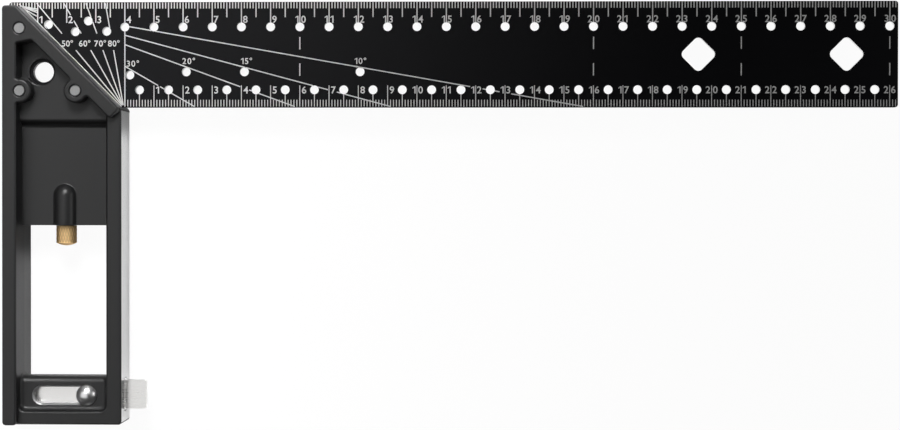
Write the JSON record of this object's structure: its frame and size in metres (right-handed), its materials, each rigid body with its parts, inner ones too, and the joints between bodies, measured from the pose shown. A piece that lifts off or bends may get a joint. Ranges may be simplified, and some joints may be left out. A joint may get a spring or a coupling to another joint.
{
  "type": "carpenter square",
  "caption": "Carpenter's square: long graduated steel blade with marking holes riveted into a cast stock with a mitre face, finger window, stowed scriber and sliding support.",
  "frame": {"origin": "middle of the object's plan box, on the plane that its back lies on", "axes": "+X along the blade from the stock towards the blade's end, +Y from the stock's foot towards the blade's top edge, +Z out of the graduated face"},
  "size_m": [0.3028, 0.144, 0.02],
  "materials": {
    "stock_casting": "die-cast, black powder coat, with bare machined stop, mitre and outer faces",
    "blade_coat": "satin black coated steel with white graduation",
    "rivet_steel": "faced off flush",
    "spring_steel": "rolled spring strip",
    "plate_steel": "satin, brushed along its length",
    "stud_chrome": "polished",
    "knob_brass": "diamond knurled",
    "needle_steel": "ground and hardened",
    "ring_rubber": "matt"
  },
  "bodies": {
    "square": {"stock": "stock_casting", "blade": "blade_coat", "corner_rivet": "rivet_steel", "heel_rivet": "rivet_steel", "mitre_rivet": "rivet_steel", "slide_spring": "spring_steel"},
    "support": {"support_plate": "plate_steel", "thumb_stud": "stud_chrome", "stud_cap": "stud_chrome"},
    "scriber": {"scriber_knob": "knob_brass", "scriber_needle": "needle_steel", "scriber_ring": "ring_rubber"}
  },
  "joints": [
    {"name": "support_slide", "type": "slide", "parent": "square", "child": "support", "axis": [1, 0, 0], "range_m": [-0.0152, 0]},
    {"name": "scriber_draw", "type": "slide", "parent": "square", "child": "scriber", "axis": [0, -1, 0], "range_m": [0, 0.0115]}
  ]
}
